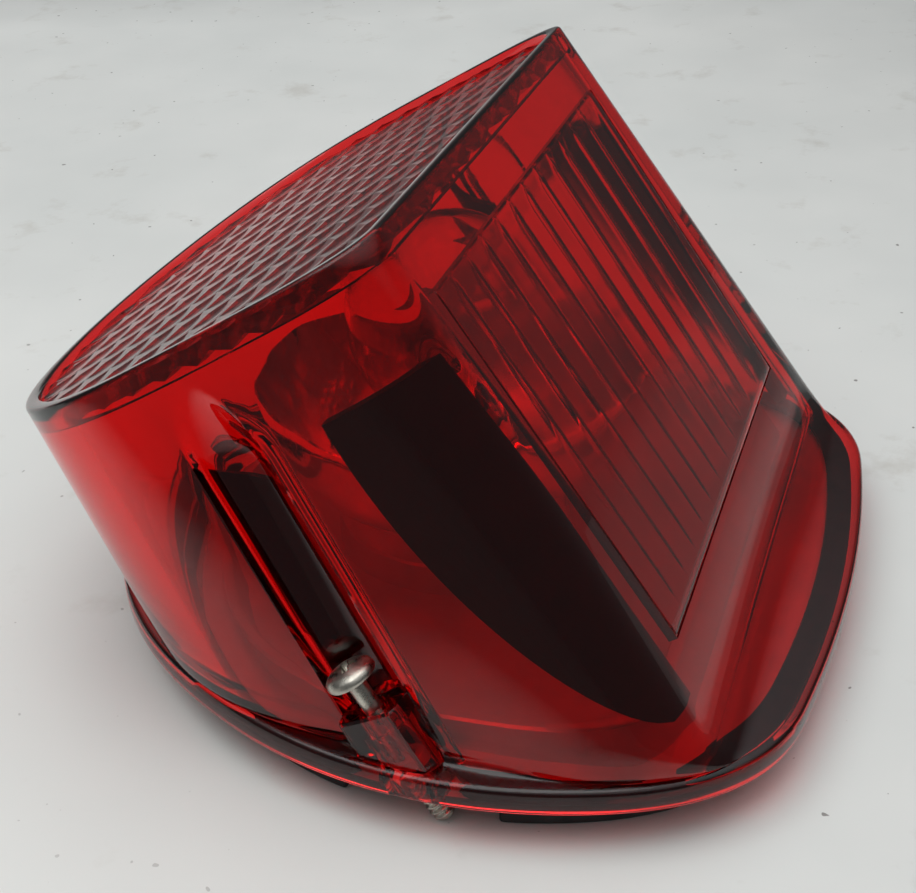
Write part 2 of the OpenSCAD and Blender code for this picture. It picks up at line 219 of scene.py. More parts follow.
def raw_mesh(name, vertices, faces):
    mesh = bpy.data.meshes.new(name)
    mesh.from_pydata((np.asarray(vertices) * MM).tolist(), [], [list(map(int, f)) for f in faces])
    return mesh


def face_outwards(mesh, weld=None):
    work = bmesh.new()
    work.from_mesh(mesh)
    if weld:
        bmesh.ops.remove_doubles(work, verts=work.verts, dist=weld)
    bmesh.ops.recalc_face_normals(work, faces=work.faces)
    work.to_mesh(mesh)
    work.free()


def add_object(name, data):
    added = bpy.data.objects.new(name, data)
    bpy.context.scene.collection.objects.link(added)
    return added


def make(node, solid, body, slot, sharp=32.0):
    """A finished piece from a solid: its millimetre vertices and its faces."""
    mesh = raw_mesh(f"{node}_mesh", *solid)
    mesh.validate()
    return finish_mesh(node, mesh, body, slot, sharp)


def finish_mesh(node, mesh, body, slot, sharp=32.0):
    """A finished piece that rides on its body in place of its CAD node. The slot also names its material."""
    face_outwards(mesh, weld=1e-7)
    mesh.polygons.foreach_set("use_smooth", [True] * len(mesh.polygons))
    mesh.set_sharp_from_angle(angle=math.radians(sharp))
    piece = add_object(f"{node}_mesh", mesh)
    mesh.materials.clear()
    mesh.materials.append(LOOKS[slot])
    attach(piece, body)
    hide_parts(node)
    return piece


def grid_faces(rows, columns, wrap_rows=False, wrap_columns=False):
    faces = []
    for i in range(rows if wrap_rows else rows - 1):
        a, b = i * columns, ((i + 1) % rows) * columns
        for j in range(columns if wrap_columns else columns - 1):
            k = (j + 1) % columns
            faces.append((a + j, a + k, b + k, b + j))
    return faces


def loft(rings, closed=False, caps=True):
    """Vertices and faces of rings joined in order, either closed on themselves or capped."""
    rings = np.asarray(rings)
    rows, columns = rings.shape[:2]
    faces = grid_faces(rows, columns, wrap_rows=closed, wrap_columns=True)
    if not closed and caps:
        faces.append(tuple(range(columns))[::-1])
        faces.append(tuple((rows - 1) * columns + j for j in range(columns)))
    return rings.reshape(-1, 3), faces


def slab_between(front, back):
    """Closed solid between two grids of the same size."""
    rows, columns = front.shape[:2]
    total = rows * columns
    faces = grid_faces(rows, columns)
    faces += [tuple(total + i for i in f[::-1]) for f in grid_faces(rows, columns)]
    rim = ([(0, j) for j in range(columns)] + [(i, columns - 1) for i in range(1, rows)]
           + [(rows - 1, j) for j in range(columns - 2, -1, -1)] + [(i, 0) for i in range(rows - 2, 0, -1)])
    index = [i * columns + j for i, j in rim]
    for a, b in zip(index, index[1:] + index[:1]):
        faces.append((a, b, total + b, total + a))
    return np.concatenate([front.reshape(-1, 3), back.reshape(-1, 3)]), faces


def merge(*solids):
    """Several closed solids as the parts of one piece."""
    vertices, faces = [], []
    for v, f in solids:
        faces += [tuple(int(i) + len(vertices) for i in face) for face in f]
        vertices += np.asarray(v).tolist()
    return vertices, faces


def circle(angle, a, b):
    """Directions at some angles in the plane of two unit vectors."""
    return np.cos(angle)[:, None] * a + np.sin(angle)[:, None] * b


def turn(profile, centre, axis=OUT, steps=64, closed=True, ripple=None):
    """Solid of revolution: profile is (radius, height) round an axis through a centre point."""
    axis = np.asarray(axis, float) / np.linalg.norm(axis)
    side = np.cross(axis, (1.0, 0.0, 0.0) if abs(axis[0]) < 0.9 else (0.0, 1.0, 0.0))
    side /= np.linalg.norm(side)
    other = np.cross(axis, side)
    angle = full_turn(steps)
    ring = circle(angle, side, other)
    rings = []
    for r, h in profile:
        r = np.full(steps, r) if ripple is None else r + ripple(angle, h)
        rings.append(np.asarray(centre) + ring * r[:, None] + axis * h)
    return loft(rings, closed=closed)


def lathe(profile, centre, steps, axis=(0, 0, 1)):
    """Solid of revolution whose profile starts and ends beside the axis."""
    return turn(profile, centre, axis, steps, closed=False)


def rounded(points, radius=0.4, steps=3):
    """A closed (radius, height) polygon with each corner rounded."""
    points = [np.asarray(p, float) for p in points]
    result = []
    for i, b in enumerate(points):
        a, c = points[i - 1], points[(i + 1) % len(points)]
        before, after = a - b, c - b
        la, lc = np.hypot(*before), np.hypot(*after)
        r = min(radius, la * 0.45, lc * 0.45)
        start, end = b + before / la * r, b + after / lc * r
        for u in np.linspace(0, 1, steps + 1):
            result.append(start * (1 - u) ** 2 + b * 2 * u * (1 - u) + end * u ** 2)
    return result


def raw_object(vertices, faces, name="cutter"):
    mesh = raw_mesh(name, vertices, faces)
    face_outwards(mesh)
    return add_object(name, mesh)


def plus(solid):
    return "UNION", solid


def minus(solid):
    return "DIFFERENCE", solid


def carve(solid, steps):
    """The mesh of a solid after boolean steps, each one given by plus() or minus()."""
    base = raw_object(*solid, name="carved")
    for operation, tool in steps:
        other = raw_object(*tool)
        modifier = base.modifiers.new("cut", "BOOLEAN")
        modifier.operation = operation
        modifier.object = other
        modifier.solver = "MANIFOLD"
        graph = bpy.context.evaluated_depsgraph_get()
        mesh = bpy.data.meshes.new_from_object(base.evaluated_get(graph))
        if not mesh.polygons:
            modifier.solver = "EXACT"
            graph = bpy.context.evaluated_depsgraph_get()
            mesh = bpy.data.meshes.new_from_object(base.evaluated_get(graph))
        base.modifiers.clear()
        base.data = mesh
        bpy.data.objects.remove(other)
    mesh = base.data
    bpy.data.objects.remove(base)
    return mesh


def rod(start, end, radius, steps=48):
    start, end = np.asarray(start, float), np.asarray(end, float)
    return lathe([(radius, 0), (radius, np.linalg.norm(end - start))], start, steps, end - start)


def box_solid(low, high, to_world=None):
    (x0, y0, z0), (x1, y1, z1) = low, high
    corners = np.array([[x0, y0, z0], [x1, y0, z0], [x1, y1, z0], [x0, y1, z0],
                        [x0, y0, z1], [x1, y0, z1], [x1, y1, z1], [x0, y1, z1]], float)
    if to_world is not None:
        corners = to_world(corners)
    return corners, [(0, 3, 2, 1), (4, 5, 6, 7), (0, 1, 5, 4), (1, 2, 6, 5), (2, 3, 7, 6), (3, 0, 4, 7)]


def sector(inner, outer, middle, spread, low, high, count=13):
    """Ring sector round the bulb axis, angles in degrees."""
    angles = np.radians(np.linspace(middle - spread / 2, middle + spread / 2, count))
    rim = np.array([(r * math.cos(a), BULB_Y + r * math.sin(a))
                    for r, order in ((inner, angles), (outer, angles[::-1])) for a in order])
    return loft([flat(rim, low), flat(rim, high)])


def at_bulb(x, y, z=0.0):
    return (x, BULB_Y + y, z)


def bulb_box(low, high):
    return box_solid(at_bulb(*low), at_bulb(*high))


def wall_frame(points):
    """World points from the frame of the straight wall: x across, y into the lens, z up the wall."""
    points = np.asarray(points, float)
    cos, sin = math.cos(DRAFT), math.sin(DRAFT)
    x, y, z = points[..., 0], points[..., 1], points[..., 2]
    return tube(x, -FACE_HALF + y * cos + z * sin, -y * sin + z * cos)


# ---------- materials

LOOKS = {}


def new_material(name):
    """The node tree and the shader of a new material, which is kept in LOOKS."""
    LOOKS[name] = bpy.data.materials.new(name)
    LOOKS[name].use_nodes = True
    tree = LOOKS[name].node_tree
    return tree, tree.nodes["Principled BSDF"]


def noise(tree, scale, detail=4.0, rough=0.55, stretch=None, seed=0.0):
    coords = tree.nodes.new("ShaderNodeTexCoord")
    mapping = tree.nodes.new("ShaderNodeMapping")
    mapping.inputs["Location"].default_value = (seed, seed * 0.7, -seed)
    if stretch:
        mapping.inputs["Scale"].default_value = stretch
    texture = tree.nodes.new("ShaderNodeTexNoise")
    texture.inputs["Scale"].default_value = scale
    texture.inputs["Detail"].default_value = detail
    texture.inputs["Roughness"].default_value = rough
    tree.links.new(coords.outputs["Object"], mapping.inputs["Vector"])
    tree.links.new(mapping.outputs["Vector"], texture.inputs["Vector"])
    return texture.outputs["Fac"]


def distance_along(tree, place, way):
    """Dot product of one output of the texture coordinates with a direction."""
    coords = tree.nodes.new("ShaderNodeTexCoord")
    node = tree.nodes.new("ShaderNodeVectorMath")
    node.operation = "DOT_PRODUCT"
    node.inputs[1].default_value = way
    tree.links.new(coords.outputs[place], node.inputs[0])
    return node.outputs["Value"]


def remap(tree, value, low, high, out_low=0.0, out_high=1.0):
    node = tree.nodes.new("ShaderNodeMapRange")
    node.inputs["From Min"].default_value = low
    node.inputs["From Max"].default_value = high
    node.inputs["To Min"].default_value = out_low
    node.inputs["To Max"].default_value = out_high
    tree.links.new(value, node.inputs["Value"])
    return node.outputs["Result"]


def mix_colour(tree, factor, a, b):
    node = tree.nodes.new("ShaderNodeMix")
    node.data_type = "RGBA"
    for socket, value in ((node.inputs[6], a), (node.inputs[7], b)):
        if isinstance(value, tuple):
            socket.default_value = (*value, 1.0)
        else:
            tree.links.new(value, socket)
    tree.links.new(factor, node.inputs[0])
    return node.outputs[2]


def combine(tree, operation, a, b):
    node = tree.nodes.new("ShaderNodeMath")
    node.operation = operation
    for socket, value in ((node.inputs[0], a), (node.inputs[1], b)):
        if isinstance(value, (int, float)):
            socket.default_value = value
        else:
            tree.links.new(value, socket)
    return node.outputs[0]


def bump(tree, shader, height, strength, distance):
    node = tree.nodes.new("ShaderNodeBump")
    node.inputs["Strength"].default_value = strength
    node.inputs["Distance"].default_value = distance
    tree.links.new(height, node.inputs["Height"])
    tree.links.new(node.outputs["Normal"], shader.inputs["Normal"])


def two_tone(tree, shader, fac, dark, light):
    """Base colour between two tones, mixed by noise."""
    tone = remap(tree, fac, 0.35, 0.65)
    tree.links.new(mix_colour(tree, tone, dark, light), shader.inputs["Base Color"])


def solid_finish(name, light, dark, roughness, metallic=0.0, scale=180.0, relief=0.25, relief_scale=900.0,
                 specular=0.5, scratches=True, depth=0.00012, seed=0.0):
    """Opaque finish: two tones mixed by noise, uneven roughness, fine relief and hairline wear."""
    tree, shader = new_material(name)
    two_tone(tree, shader, noise(tree, scale, 5, 0.6, seed=seed), dark, light)
    grain = noise(tree, relief_scale, 3, 0.6, seed=seed + 3)
    rough = remap(tree, noise(tree, scale * 1.7, 4, 0.6, seed=seed + 1), 0.3, 0.7, roughness[0], roughness[1])
    height = grain
    if scratches:
        hairs = noise(tree, 340.0, 2, 0.5, stretch=(1.0, 14.0, 2.0), seed=seed + 5)
        worn = remap(tree, hairs, 0.64, 0.7)
        rough = combine(tree, "ADD", rough, combine(tree, "MULTIPLY", worn, 0.08))
        height = combine(tree, "ADD", grain, combine(tree, "MULTIPLY", worn, 0.5))
    tree.links.new(rough, shader.inputs["Roughness"])
    shader.inputs["Metallic"].default_value = metallic
    shader.inputs["Specular IOR Level"].default_value = specular
    bump(tree, shader, height, relief, depth)


def glass_finish(name, light, dark, density, absorb, roughness=(0.0, 0.03), ior=1.49, ripple=0.02, seed=0.0,
                 dust=0.05, scale=60.0):
    """Clear coloured plastic: tinted surface, absorption in depth, faint ripple, dust and hairlines."""
    tree, shader = new_material(name)
    two_tone(tree, shader, noise(tree, scale, 4, 0.5, seed=seed), dark, light)
    shader.inputs["Transmission Weight"].default_value = 1.0
    shader.inputs["IOR"].default_value = ior
    hairs = noise(tree, 260.0, 2, 0.5, stretch=(1.0, 12.0, 1.5), seed=seed + 2)
    worn = remap(tree, hairs, 0.66, 0.72)
    specks = remap(tree, noise(tree, 1500.0, 2, 0.5, seed=seed + 4), 0.7, 0.78, 0.0, dust)
    rough = remap(tree, noise(tree, scale * 2, 3, 0.6, seed=seed + 1), 0.35, 0.7, roughness[0], roughness[1])
    rough = combine(tree, "ADD", rough, combine(tree, "MULTIPLY", worn, 0.06))
    rough = combine(tree, "ADD", rough, specks)
    tree.links.new(rough, shader.inputs["Roughness"])
    waves = noise(tree, 45.0, 2, 0.4, seed=seed + 7)
    height = combine(tree, "ADD", waves, combine(tree, "MULTIPLY", worn, 0.02))
    bump(tree, shader, height, ripple, 0.002)
    if density:
        volume = tree.nodes.new("ShaderNodeVolumeAbsorption")
        volume.inputs["Color"].default_value = (*absorb, 1.0)
        volume.inputs["Density"].default_value = density
        tree.links.new(volume.outputs["Volume"], tree.nodes["Material Output"].inputs["Volume"])


RED_SKIN = (0.94, 0.06, 0.06)
RED_SKIN_DARK = (0.89, 0.045, 0.05)
RED_ABSORB = (0.93, 0.03, 0.04)

glass_finish("red_lens", RED_SKIN, RED_SKIN_DARK, 260.0, RED_ABSORB, ripple=0.015)
glass_finish("red_window", RED_SKIN, RED_SKIN_DARK, 260.0, RED_ABSORB, roughness=(0.08, 0.13), ripple=0.02,
             seed=11.0)
glass_finish("red_reflex", (0.62, 0.05, 0.06), (0.50, 0.035, 0.045), 260.0, RED_ABSORB,
             roughness=(0.06, 0.12), seed=21.0, dust=0.1)
solid_finish("gasket_rubber", (0.020, 0.020, 0.021), (0.010, 0.010, 0.010), (0.6, 0.8), specular=0.25,
             seed=2.0)
solid_finish("black_housing", (0.028, 0.027, 0.028), (0.012, 0.012, 0.013), (0.35, 0.55), relief=0.3,
             seed=4.0)
solid_finish("black_shade", (0.010, 0.009, 0.009), (0.005, 0.004, 0.004), (0.45, 0.6), relief=0.1,
             specular=0.25, seed=6.0)
solid_finish("pad_rubber", (0.03, 0.03, 0.031), (0.013, 0.013, 0.014), (0.62, 0.85), relief=0.5,
             depth=0.0003, seed=8.0)
solid_finish("metallised", (0.86, 0.86, 0.87), (0.74, 0.74, 0.76), (0.06, 0.16), metallic=1.0, scale=70.0,
             relief=0.25, relief_scale=110.0, depth=0.0009, seed=10.0)
solid_finish("metallised_floor", (0.76, 0.76, 0.76), (0.62, 0.62, 0.63), (0.28, 0.42), metallic=0.4,
             scale=60.0, relief=0.2, relief_scale=150.0, depth=0.0006, seed=12.0)
solid_finish("socket_plastic", (0.03, 0.03, 0.032), (0.014, 0.014, 0.015), (0.4, 0.6), seed=14.0)
solid_finish("plated_steel", (0.66, 0.64, 0.58), (0.46, 0.44, 0.40), (0.22, 0.4), metallic=1.0, seed=16.0)
solid_finish("spring_steel", (0.55, 0.54, 0.52), (0.35, 0.34, 0.33), (0.25, 0.4), metallic=1.0, seed=18.0)
solid_finish("phenolic", (0.16, 0.07, 0.03), (0.09, 0.04, 0.02), (0.4, 0.6), seed=20.0)
solid_finish("brass", (0.72, 0.52, 0.24), (0.52, 0.36, 0.16), (0.24, 0.42), metallic=1.0, seed=22.0)
solid_finish("vitrite", (0.03, 0.03, 0.045), (0.012, 0.012, 0.02), (0.12, 0.25), seed=24.0)
solid_finish("solder", (0.62, 0.61, 0.6), (0.42, 0.41, 0.4), (0.3, 0.5), metallic=1.0, seed=26.0)
solid_finish("tungsten", (0.42, 0.41, 0.4), (0.25, 0.25, 0.25), (0.3, 0.5), metallic=1.0, seed=28.0)
solid_finish("screw_steel", (0.60, 0.57, 0.50), (0.36, 0.34, 0.30), (0.2, 0.42), metallic=1.0, scale=420.0,
             relief=0.3, relief_scale=1400.0, seed=30.0)
solid_finish("nylon", (0.62, 0.60, 0.54), (0.5, 0.48, 0.43), (0.4, 0.55), seed=32.0)
glass_finish("clear_glass", (0.98, 0.98, 0.98), (0.94, 0.95, 0.95), 0.0, (1, 1, 1), ior=1.5, ripple=0.01,
             seed=34.0, dust=0.03)


# ---------- lens shell

def lens_rings():
    """Closed cross-sections of the shell, one point of each per ring, going round the whole section."""
    face = face_outline(0.0)
    wall_in = face_outline(CAVITY_INSET)
    rings = []

    def outer(depth, share=0.0):
        """Outer wall; share 0 follows the screw channel, 1 the boss under the seat."""
        x, s = tapered(face, depth)
        ds = s - SCREW_S
        wide = np.abs(x)
        cut = smooth_min(wide, pipe_limit(ds, CHANNEL_R, depth), 0.6)
        full = smooth_max(wide, boss_limit(ds), 0.7)
        y = FACE[1] + s * DOWN[1] - depth * OUT[1]
        full = np.minimum(full, np.maximum(half_width(FLANGE_EDGE, y) - 1.2, wide))
        return np.sign(x) * (cut * (1 - share) + full * share), s, -depth, full - cut

    def ring(depth, share=0.0):
        x, s, t, _ = outer(depth, share)
        rings.append(tube(x, s, t))

    # Rim: rounded inner edge, flat top, rounded outer edge
    edge = 0.45
    for inset, t in ((1.8, -0.4), (1.68, -0.12), (1.4, 0.0), (edge + 0.1, 0.0), (edge * 0.62, -edge * 0.07),
                     (edge * 0.29, -edge * 0.29), (edge * 0.07, -edge * 0.62)):
        rings.append(tube(*face_outline(inset).T, t))

    root = depth_at_height(face, FLANGE_TOP)
    in_channel = 1 - ease(6.5, 12, np.abs(face[:, 1] - SCREW_S))
    near_wall = 1 - ease(-24, -12, face[:, 1])
    fillet = 1.6 + 4.6 * near_wall
    seat = -SEAT_T * in_channel + 0.86 * root * (1 - in_channel)

    for share in np.linspace(0, 1, 34):
        ring(edge + (seat - 0.25 - edge) * share)
    step = np.clip(outer(seat)[3] / 0.6, 0, 1)
    for share in (0.0, 0.2, 0.4, 0.6, 0.8, 0.95):
        ring(seat - 0.05 * step + 0.2 * share * (1 - step), share)
    ring(seat + 0.25, 1.0)
    ring(seat + 0.6, 1.0)
    for share in np.linspace(0, 1, 5)[1:]:
        ring(seat + 0.6 + (root - fillet - seat - 0.6) * share, 1.0)

    x, s, t, _ = outer(root, 1.0)
    foot = tube(x, s, t)
    head = rings[-1]
    lip = flat(flange_outline(1.0), FLANGE_TOP)
    away = lip - foot
    reach = np.linalg.norm(away[:, :2], axis=1)
    toe = foot + away * (np.minimum(fillet, reach * 0.8) / np.maximum(reach, 1e-6))[:, None]
    for u in np.linspace(0, 1, 9)[1:]:
        rings.append(head * (1 - u) ** 2 + foot * 2 * u * (1 - u) + toe * u ** 2)
    rings.append(toe * 0.5 + lip * 0.5)

    # Lip, underside and gasket recess
    for inset, z in ((0.9, 9.8), (0.55, 9.74), (0.22, 9.5), (0.05, 9.1), (0.0, 8.4), (0.0, 6.6), (0.08, 6.28),
                     (0.3, 6.06), (0.6, 6.0), (1.5, 6.0), (1.72, 6.06), (1.8, 6.3), (1.8, 7.7), (1.95, 7.95),
                     (2.2, 8.0)):
        rings.append(flat(flange_outline(inset + SHY), z))

    def inner(depth):
        x, s = tapered(wall_in, depth)
        ds = s - SCREW_S
        wide = smooth_min(np.abs(x), pipe_limit(ds, PIPE_R, depth), 0.9)
        return tube(np.sign(x) * wide, s, -depth)

    bottom = depth_at_height(wall_in, RECESS_Z)
    start = rings[-1]
    for u in (0.45, 0.9):
        rings.append(start * (1 - u) + inner(bottom) * u)
    for share in np.linspace(0, 1, 34):
        ease_in = bottom - 0.3 - (bottom - 0.3 - POCKET - 0.2) * share
        rings.append(inner(ease_in))
    ledge = tube(*face_outline(RIM_INSET).T, -POCKET)
    last = inner(np.full(COUNT, POCKET))
    for u in (0.15, 0.85):
        rings.append(last * (1 - u) + ledge * u)
    for t in (-POCKET + 0.15, -2.8, -1.4):
        rings.append(tube(*face_outline(RIM_INSET).T, t))
    return rings


def screw_axis(side, t):
    return tube(side * SCREW_X, SCREW_S, t)


def slanted_tube(side, radius, low, high, steps=48):
    """Cylinder along a screw's axis, cut level at two heights."""
    angle = full_turn(steps)
    base = screw_axis(side, 0.0)
    ring = base + radius * circle(angle, ACROSS, DOWN)
    return loft([ring + OUT * ((z - ring[:, 2]) / OUT[2])[:, None] for z in (low, high)])


steps = []
for side in (-1, 1):
    steps.append(plus(slanted_tube(side, 3.8, FLANGE_BOTTOM + 0.05, 9.0)))
for side in (-1, 1):
    steps.append(minus(rod(screw_axis(side, SEAT_T + 2), screw_axis(side, -80), 1.95)))
    steps.append(minus(rod(screw_axis(side, SEAT_T - 3), screw_axis(side, -80), 2.8)))
steps.append(minus(box_solid((-38, -2, -65), (38, 6, -10.5), wall_frame)))
shell = carve(loft(lens_rings(), closed=True), steps)
finish_mesh("lens_shell", shell, "lamp", "red_lens", sharp=35)


# ---------- optic window

def optic_window():
    half, top, bottom, thick = 37.95, -10.55, -64.95, 2.4
    pitch, depth, flutes = 6.2, 0.42, 12
    x = np.linspace(-half, half, 389)
    z = np.concatenate([[top, top - 0.25], np.linspace(top - 0.6, bottom + 0.6, 40), [bottom + 0.25, bottom]])
    gx, gz = np.meshgrid(x, z)
    reach = flutes * pitch / 2
    local = np.mod(gx + reach, pitch) - pitch / 2
    flute = depth * (1 - np.abs(2 * local / pitch) ** 8)
    flute *= (np.abs(gx) <= reach) * ease(-13.0, -13.8, gz) * ease(-62.0, -61.2, gz)
    edge = 0.18 * (1 - ease(0, 0.35, np.minimum(half - np.abs(gx), np.minimum(top - gz, gz - bottom))))
    front = wall_frame(np.stack([gx, edge, gz], -1))
    back = wall_frame(np.stack([gx, thick + flute - edge, gz], -1))
    make("optic_window", slab_between(front, back), "lamp", "red_window", sharp=28)


optic_window()


# ---------- reflex reflector

CELL_A = np.array([0.6, 5.2])
CELL_B = np.array([7.8, 2.2])


def cell_sheet(height, rings, span=64.0):
    """A sheet of stretched hexagon cells with shared corners, whose height is a function inside each cell."""
    a, b = CELL_A, CELL_B
    half = [(a + b) / 3, (2 * b - a) / 3, (b - 2 * a) / 3]
    corners = half + [-corner for corner in half]
    vertices, faces, known = [], [], {}

    def vertex(point, z):
        key = (round(point[0], 3), round(point[1], 3))
        if key not in known:
            known[key] = len(vertices)
            vertices.append((point[0], point[1], z))
        return known[key]

    for i in range(-14, 15):
        for j in range(-26, 27):
            centre = b * i + a * j
            if abs(centre[0]) > span or abs(centre[1] - 6) > span * 0.75:
                continue
            for k in range(6):
                p, q = corners[k], corners[(k + 1) % 6]
                lattice = {}
                for m in range(rings + 1):
                    for n in range(m + 1):
                        wp, wq = (m - n) / rings, n / rings
                        lattice[m, n] = vertex(centre + p * wp + q * wq, height(wp + wq, wp, wq, k))
                for m in range(rings):
                    for n in range(m + 1):
                        faces.append((lattice[m, n], lattice[m + 1, n], lattice[m + 1, n + 1]))
                        if n < m:
                            faces.append((lattice[m, n], lattice[m + 1, n + 1], lattice[m, n + 1]))
    return vertices, faces


def sheet_solid(sheet, far):
    """Closes a sheet into a solid by running its border to a level far from it."""
    work = bmesh.new()
    added = [work.verts.new(v) for v in sheet[0]]
    for f in sheet[1]:
        work.faces.new([added[i] for i in f])
    border = [e for e in work.edges if len(e.link_faces) == 1]
    grown = bmesh.ops.extrude_edge_only(work, edges=border)["geom"]
    for v in (g for g in grown if isinstance(g, bmesh.types.BMVert)):
        v.co.z = far
    bmesh.ops.holes_fill(work, edges=[e for e in work.edges if len(e.link_faces) == 1], sides=0)
    work.verts.index_update()
    vertices = np.array([v.co[:] for v in work.verts])
    faces = [tuple(v.index for v in f.verts) for f in work.faces]
    work.free()
    return tube(*vertices.T), faces


def reflex():
    dish, unit = 0.33, 0.75
    front_t, back_t = -1.0, -4.0
    rise = (unit, 2 * unit) * 3
    front = cell_sheet(lambda r, wp, wq, k: front_t - dish * (1 - r * r), 5)
    back = cell_sheet(lambda r, wp, wq, k: back_t + wp * rise[k] + wq * rise[(k + 1) % 6], 1)
    plate = loft([tube(*face_outline(RIM_INSET + 0.15).T, t) for t in (back_t, front_t - 0.02)])
    mesh = carve(plate, [minus(sheet_solid(front, 4.0)), minus(sheet_solid(back, -12.0))])
    finish_mesh("reflex_reflector", mesh, "lamp", "red_reflex", sharp=9)


reflex()


# ---------- shades, shrouds, gasket, housing, pads

SHADE_INSETS = (3.62, 5.18)
SHADE_TOP, SHADE_FOOT = 17.0, 72.0
SHADE_REACH = 40.0  # distance of its window side from the centre plane
FREE_EDGE, FREE_CURVE, FREE_DEPTH = -12.4, 0.0052, 16.0
FLAT_POINTS, FREE_POINT = 34, 12  # end of the search for the window side, and start of that for the free edge


def shade(side):
    """Wall in a corner of the tube, as a grid from its window side to its curved free edge."""
    rows, columns = 40, 44
    layers = []
    for inset in SHADE_INSETS:
        points = face_outline(inset)
        begin = EDGE_COUNTS[0] - 10
        fine = points[begin:EDGE_COUNTS[0] + CORNER_COUNTS[0] + EDGE_COUNTS[1]]
        floor = np.minimum(depth_at_height(fine, PLATE_TOP + 0.06), SHADE_FOOT)
        layer = []
        for v in np.linspace(0, 1, rows):
            depth = SHADE_TOP + (floor - SHADE_TOP) * v
            x, s = tapered(fine, depth)
            free = FREE_EDGE - FREE_CURVE * (depth - FREE_DEPTH) ** 2
            keep_from = np.interp(SHADE_REACH, x[:FLAT_POINTS], np.arange(FLAT_POINTS))
            gap = (s - free)[FREE_POINT:]
            keep_to = max(np.interp(0.0, gap, np.arange(FREE_POINT, len(x))), keep_from + 1.0)
            at = np.linspace(keep_from, keep_to, columns)
            index = np.arange(len(x))
            line_x, line_s, line_depth = (np.interp(at, index, value) for value in (x, s, depth))
            layer.append(tube(side * line_x, line_s, -line_depth))
        layers.append(np.array(layer))
    return slab_between(*layers)


def soften(piece, width=0.35, segments=3):
    modifier = piece.modifiers.new("soften", "BEVEL")
    modifier.width = width * MM
    modifier.segments = segments
    modifier.limit_method = "ANGLE"
    modifier.angle_limit = math.radians(50)
    return piece


for side, word in SIDES:
    soften(make(f"corner_shade_{word}", shade(side), "lamp", "black_shade"))


SHROUD_RADII = (7.35, 8.65)
SHROUD_TOP, SHROUD_SLANT = 21.5, 5.5
SHROUD_INSET = 3.65
SHROUD_START = math.radians(4)


def shroud(side):
    """Curved plate behind a screw channel, with a slanted top edge."""
    rows, columns = 36, 26
    middle = sum(SHROUD_RADII) / 2
    layers = []
    for radius in SHROUD_RADII:
        layer = []
        for v in np.linspace(0, 1, rows):
            share = np.linspace(0, 1, columns)
            start = SHROUD_TOP - SHROUD_SLANT * share
            floor = (FACE[2] - (PLATE_TOP + 0.1)) / math.cos(LEAN)
            depth = start + (floor - start) * v
            axis = channel_axis(depth)
            wide = (CHANNEL_X - SHROUD_INSET) * (1 + TAPER * depth)
            span = np.arccos(np.clip((axis - wide) / middle, -1, 1))
            angle = SHROUD_START + (span - SHROUD_START) * share
            x = axis - radius * np.cos(angle)
            s = SCREW_S + radius * np.sin(angle)
            low = FACE[2] + s * DOWN[2] - depth * OUT[2]
            lift = np.maximum(PLATE_TOP + 0.1 - low, 0) / OUT[2]
            layer.append(tube(side * x, s, -depth + lift))
        layers.append(np.array(layer))
    return slab_between(*layers)


for side, word in SIDES:
    soften(make(f"channel_shroud_{word}", shroud(side), "lamp", "black_shade"), 0.3)


def gasket():
    """Ring under the lens: runs near the lip and steps inside each screw."""
    outer, inner = flange_outline(2.0), flange_outline(12.0)
    y = outer[:, 1]
    screw_y = screw_axis(1, 0.0)[1] - (FACE[2] - 7.4) * math.tan(LEAN)
    detour = np.exp(-((y - screw_y) / 6.0) ** 4) * (np.abs(outer[:, 0]) > 40) * 6.3
    rings = []
    for offset, z in ((0.0, 6.86), (-0.15, 7.1), (-0.22, 7.7), (-0.22, 8.03),
                      (3.2, 8.03), (3.4, 7.8), (3.4, 7.1), (3.1, 6.86)):
        share = ((offset + detour + 0.02) / 10.0)[:, None]
        rings.append(flat(outer * (1 - share) + inner * share, z))
    return loft(rings, closed=True)


make("lens_gasket", gasket(), "lamp", "gasket_rubber")


def housing():
    plate = [flat(flange_outline(inset), z) for inset, z in
             ((2.35, 5.2), (2.12, 5.3), (2.06, 5.5), (2.06, 6.5), (2.12, 6.7), (2.35, 6.79))]
    wall = []
    for inset, lift in ((7.0, -0.4), (7.0, 4.2), (7.3, 4.5), (8.2, 4.5), (8.5, 4.2), (8.5, -0.4)):
        points = face_outline(inset)
        depth = depth_at_height(points, PLATE_TOP + lift)
        x, s = tapered(points, depth)
        wall.append(tube(x, s, -depth))
    collar = [(16.6, 6.0), (16.6, 11.6), (16.2, 12.0), (12.6, 12.0), (12.6, 6.0)]
    cuts = [plus(loft(wall, closed=True)), plus(lathe(collar, AXIS, 96)),
            minus(rod(at_bulb(0, 0), at_bulb(0, 0, 30), 13.2, 96))]
    cuts += [minus(sector(12.0, 14.8, middle, 26, 0.0, 30.0, 9)) for middle in (40, 160, 280)]
    cuts += [minus(rod(screw_axis(side, -40), screw_axis(side, -90), 4.2)) for side in (-1, 1)]
    return carve(loft(plate), cuts)


tray = finish_mesh("rear_housing", housing(), "lamp", "black_housing")
tray.data.materials.append(LOOKS["metallised_floor"])
painted = flange_outline(6.5)
for polygon in tray.data.polygons:
    px, py, pz = (c / MM for c in polygon.center)
    limit = half_width(painted, py, left=0, right=0)
    if pz > 6.85 or (polygon.normal.z > 0.3 and pz > 6.6 and abs(px) < limit):
        polygon.material_index = 1


